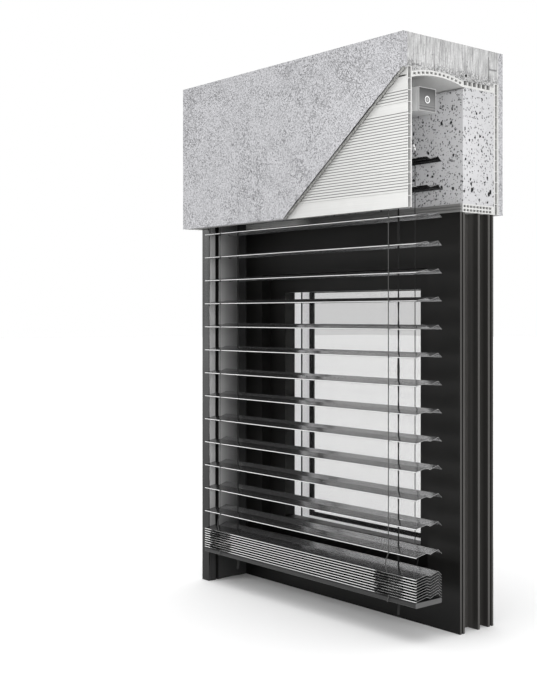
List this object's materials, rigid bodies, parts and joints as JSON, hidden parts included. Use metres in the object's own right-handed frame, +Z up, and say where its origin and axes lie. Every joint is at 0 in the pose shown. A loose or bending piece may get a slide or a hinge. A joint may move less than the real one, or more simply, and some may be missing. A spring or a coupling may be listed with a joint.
{
  "type": "exterior venetian blind",
  "caption": "Exterior venetian blind with Z-shaped slats, in a rendered lintel box on an anthracite triple-glazed window frame, cut away at one end.",
  "frame": {"origin": "middle of the footprint's box, on the floor", "axes": "+X along the wall to the cut-away right end, +Y into the building, +Z up"},
  "size_m": [0.864, 0.359, 1.416],
  "materials": {
    "render": "matte",
    "panel": "matte",
    "lintel": "matte",
    "insulation": "matte",
    "slat": "satin",
    "bottom_rail": "satin",
    "rail": "satin",
    "liner": "matte",
    "window_frame": "satin",
    "glass": "gloss",
    "spacer": "satin",
    "gasket": "matte",
    "headrail": "satin",
    "cap": "matte",
    "bracket": "satin",
    "motor": "satin",
    "screw": "satin",
    "cord": "matte",
    "tape": "matte",
    "shaft": "satin",
    "spool": "satin",
    "pin": "satin"
  },
  "bodies": {
    "root": {"front_render": "render", "rear_render": "render", "left_end_panel": "panel", "front_panel": "panel", "rear_panel": "panel", "top_panel": "panel", "lintel": "lintel", "insulation_block": "insulation", "base_panel": "panel", "guide_rail": "rail", "rail_liners": "liner", "frame_stiles": "window_frame", "frame_rails": "window_frame", "sash_stiles": "window_frame", "sash_rails": "window_frame", "glass_panes": "glass", "glazing_spacers": "spacer", "glazing_gaskets": "gasket", "headrail": "headrail", "headrail_caps": "cap", "headrail_brackets": "bracket", "motor": "motor", "fixing_screws": "screw", "ladder_cords": "cord", "lift_tapes": "tape"},
    "bottom_rail": {"bottom_rail": "bottom_rail", "stacked_slats": "slat"},
    "drive_shaft": {"drive_shaft": "shaft", "cord_spools": "spool"},
    "tilt_rings": {"tilt_rings": "spool"},
    "guide_pin_01": {"guide_pin_01": "pin"},
    "slat_01": {"slat_01": "slat"},
    "guide_pin_02": {"guide_pin_02": "pin"},
    "slat_02": {"slat_02": "slat"},
    "guide_pin_03": {"guide_pin_03": "pin"},
    "slat_03": {"slat_03": "slat"},
    "guide_pin_04": {"guide_pin_04": "pin"},
    "slat_04": {"slat_04": "slat"},
    "guide_pin_05": {"guide_pin_05": "pin"},
    "slat_05": {"slat_05": "slat"},
    "guide_pin_06": {"guide_pin_06": "pin"},
    "slat_06": {"slat_06": "slat"},
    "guide_pin_07": {"guide_pin_07": "pin"},
    "slat_07": {"slat_07": "slat"},
    "guide_pin_08": {"guide_pin_08": "pin"},
    "slat_08": {"slat_08": "slat"},
    "guide_pin_09": {"guide_pin_09": "pin"},
    "slat_09": {"slat_09": "slat"},
    "guide_pin_10": {"guide_pin_10": "pin"},
    "slat_10": {"slat_10": "slat"},
    "guide_pin_11": {"guide_pin_11": "pin"},
    "slat_11": {"slat_11": "slat"},
    "guide_pin_12": {"guide_pin_12": "pin"},
    "slat_12": {"slat_12": "slat"},
    "guide_pin_13": {"guide_pin_13": "pin"},
    "slat_13": {"slat_13": "slat"},
    "guide_pin_14": {"guide_pin_14": "pin"},
    "slat_14": {"slat_14": "slat"},
    "guide_pin_15": {"guide_pin_15": "pin"},
    "slat_15": {"slat_15": "slat"}
  },
  "joints": [
    {"name": "lift", "type": "slide", "parent": "root", "child": "bottom_rail", "axis": [0, 0, 1], "range_m": [0, 0.465], "deforming": ["ladder_cords", "lift_tapes"]},
    {"name": "shaft_turn", "type": "hinge", "parent": "root", "child": "drive_shaft", "pos_m": [0, -0.09825, 1.26775], "axis": [1, 0, 0], "range_deg": [0, 2221]},
    {"name": "pin_slide_01", "type": "slide", "parent": "root", "child": "guide_pin_01", "axis": [0, 0, 1], "range_m": [0, 0.46501]},
    {"name": "tilt", "type": "hinge", "parent": "guide_pin_01", "child": "slat_01", "pos_m": [-0.376, -0.093, 0.20619], "axis": [1, 0, 0], "range_deg": [0, 70]},
    {"name": "pin_slide_02", "type": "slide", "parent": "root", "child": "guide_pin_02", "axis": [0, 0, 1], "range_m": [0, 0.43501]},
    {"name": "tilt_02", "type": "hinge", "parent": "guide_pin_02", "child": "slat_02", "pos_m": [-0.376, -0.093, 0.27219], "axis": [1, 0, 0], "range_deg": [0, 70]},
    {"name": "pin_slide_03", "type": "slide", "parent": "root", "child": "guide_pin_03", "axis": [0, 0, 1], "range_m": [0, 0.40501]},
    {"name": "tilt_03", "type": "hinge", "parent": "guide_pin_03", "child": "slat_03", "pos_m": [-0.376, -0.093, 0.33819], "axis": [1, 0, 0], "range_deg": [0, 70]},
    {"name": "pin_slide_04", "type": "slide", "parent": "root", "child": "guide_pin_04", "axis": [0, 0, 1], "range_m": [0, 0.37501]},
    {"name": "tilt_04", "type": "hinge", "parent": "guide_pin_04", "child": "slat_04", "pos_m": [-0.376, -0.093, 0.40419], "axis": [1, 0, 0], "range_deg": [0, 70]},
    {"name": "pin_slide_05", "type": "slide", "parent": "root", "child": "guide_pin_05", "axis": [0, 0, 1], "range_m": [0, 0.34501]},
    {"name": "tilt_05", "type": "hinge", "parent": "guide_pin_05", "child": "slat_05", "pos_m": [-0.376, -0.093, 0.47019], "axis": [1, 0, 0], "range_deg": [0, 70]},
    {"name": "pin_slide_06", "type": "slide", "parent": "root", "child": "guide_pin_06", "axis": [0, 0, 1], "range_m": [0, 0.31501]},
    {"name": "tilt_06", "type": "hinge", "parent": "guide_pin_06", "child": "slat_06", "pos_m": [-0.376, -0.093, 0.53619], "axis": [1, 0, 0], "range_deg": [0, 70]},
    {"name": "pin_slide_07", "type": "slide", "parent": "root", "child": "guide_pin_07", "axis": [0, 0, 1], "range_m": [0, 0.28501]},
    {"name": "tilt_07", "type": "hinge", "parent": "guide_pin_07", "child": "slat_07", "pos_m": [-0.376, -0.093, 0.60219], "axis": [1, 0, 0], "range_deg": [0, 70]},
    {"name": "pin_slide_08", "type": "slide", "parent": "root", "child": "guide_pin_08", "axis": [0, 0, 1], "range_m": [0, 0.25501]},
    {"name": "tilt_08", "type": "hinge", "parent": "guide_pin_08", "child": "slat_08", "pos_m": [-0.376, -0.093, 0.66819], "axis": [1, 0, 0], "range_deg": [0, 70]},
    {"name": "pin_slide_09", "type": "slide", "parent": "root", "child": "guide_pin_09", "axis": [0, 0, 1], "range_m": [0, 0.22501]},
    {"name": "tilt_09", "type": "hinge", "parent": "guide_pin_09", "child": "slat_09", "pos_m": [-0.376, -0.093, 0.73419], "axis": [1, 0, 0], "range_deg": [0, 70]},
    {"name": "pin_slide_10", "type": "slide", "parent": "root", "child": "guide_pin_10", "axis": [0, 0, 1], "range_m": [0, 0.19501]},
    {"name": "tilt_10", "type": "hinge", "parent": "guide_pin_10", "child": "slat_10", "pos_m": [-0.376, -0.093, 0.80019], "axis": [1, 0, 0], "range_deg": [0, 70]},
    {"name": "pin_slide_11", "type": "slide", "parent": "root", "child": "guide_pin_11", "axis": [0, 0, 1], "range_m": [0, 0.16501]},
    {"name": "tilt_11", "type": "hinge", "parent": "guide_pin_11", "child": "slat_11", "pos_m": [-0.376, -0.093, 0.86619], "axis": [1, 0, 0], "range_deg": [0, 70]},
    {"name": "pin_slide_12", "type": "slide", "parent": "root", "child": "guide_pin_12", "axis": [0, 0, 1], "range_m": [0, 0.13501]},
    {"name": "tilt_12", "type": "hinge", "parent": "guide_pin_12", "child": "slat_12", "pos_m": [-0.376, -0.093, 0.93219], "axis": [1, 0, 0], "range_deg": [0, 70]},
    {"name": "pin_slide_13", "type": "slide", "parent": "root", "child": "guide_pin_13", "axis": [0, 0, 1], "range_m": [0, 0.10501]},
    {"name": "tilt_13", "type": "hinge", "parent": "guide_pin_13", "child": "slat_13", "pos_m": [-0.376, -0.093, 0.99819], "axis": [1, 0, 0], "range_deg": [0, 70]},
    {"name": "pin_slide_14", "type": "slide", "parent": "root", "child": "guide_pin_14", "axis": [0, 0, 1], "range_m": [0, 0.07501]},
    {"name": "tilt_14", "type": "hinge", "parent": "guide_pin_14", "child": "slat_14", "pos_m": [-0.376, -0.093, 1.06419], "axis": [1, 0, 0], "range_deg": [0, 70]},
    {"name": "pin_slide_15", "type": "slide", "parent": "root", "child": "guide_pin_15", "axis": [0, 0, 1], "range_m": [0, 0.04501]},
    {"name": "tilt_15", "type": "hinge", "parent": "guide_pin_15", "child": "slat_15", "pos_m": [-0.376, -0.093, 1.13019], "axis": [1, 0, 0], "range_deg": [0, 70]},
    {"name": "ring_turn", "type": "hinge", "parent": "root", "child": "tilt_rings", "pos_m": [0, -0.09825, 1.26775], "axis": [1, 0, 0], "range_deg": [0, 112.1]}
  ],
  "couplings": [
    {"joint": "shaft_turn", "follows": "lift", "rad_per_m": 83.333},
    {"joint": "pin_slide_01", "follows": "lift", "ratio": 1},
    {"joint": "pin_slide_02", "follows": "lift", "ratio": 0.93548},
    {"joint": "tilt_02", "follows": "tilt", "ratio": 1},
    {"joint": "pin_slide_03", "follows": "lift", "ratio": 0.87097},
    {"joint": "tilt_03", "follows": "tilt", "ratio": 1},
    {"joint": "pin_slide_04", "follows": "lift", "ratio": 0.80645},
    {"joint": "tilt_04", "follows": "tilt", "ratio": 1},
    {"joint": "pin_slide_05", "follows": "lift", "ratio": 0.74194},
    {"joint": "tilt_05", "follows": "tilt", "ratio": 1},
    {"joint": "pin_slide_06", "follows": "lift", "ratio": 0.67742},
    {"joint": "tilt_06", "follows": "tilt", "ratio": 1},
    {"joint": "pin_slide_07", "follows": "lift", "ratio": 0.6129},
    {"joint": "tilt_07", "follows": "tilt", "ratio": 1},
    {"joint": "pin_slide_08", "follows": "lift", "ratio": 0.54839},
    {"joint": "tilt_08", "follows": "tilt", "ratio": 1},
    {"joint": "pin_slide_09", "follows": "lift", "ratio": 0.48387},
    {"joint": "tilt_09", "follows": "tilt", "ratio": 1},
    {"joint": "pin_slide_10", "follows": "lift", "ratio": 0.41935},
    {"joint": "tilt_10", "follows": "tilt", "ratio": 1},
    {"joint": "pin_slide_11", "follows": "lift", "ratio": 0.35484},
    {"joint": "tilt_11", "follows": "tilt", "ratio": 1},
    {"joint": "pin_slide_12", "follows": "lift", "ratio": 0.29032},
    {"joint": "tilt_12", "follows": "tilt", "ratio": 1},
    {"joint": "pin_slide_13", "follows": "lift", "ratio": 0.22581},
    {"joint": "tilt_13", "follows": "tilt", "ratio": 1},
    {"joint": "pin_slide_14", "follows": "lift", "ratio": 0.16129},
    {"joint": "tilt_14", "follows": "tilt", "ratio": 1},
    {"joint": "pin_slide_15", "follows": "lift", "ratio": 0.096774},
    {"joint": "tilt_15", "follows": "tilt", "ratio": 1},
    {"joint": "ring_turn", "follows": "tilt", "ratio": 1.6}
  ]
}
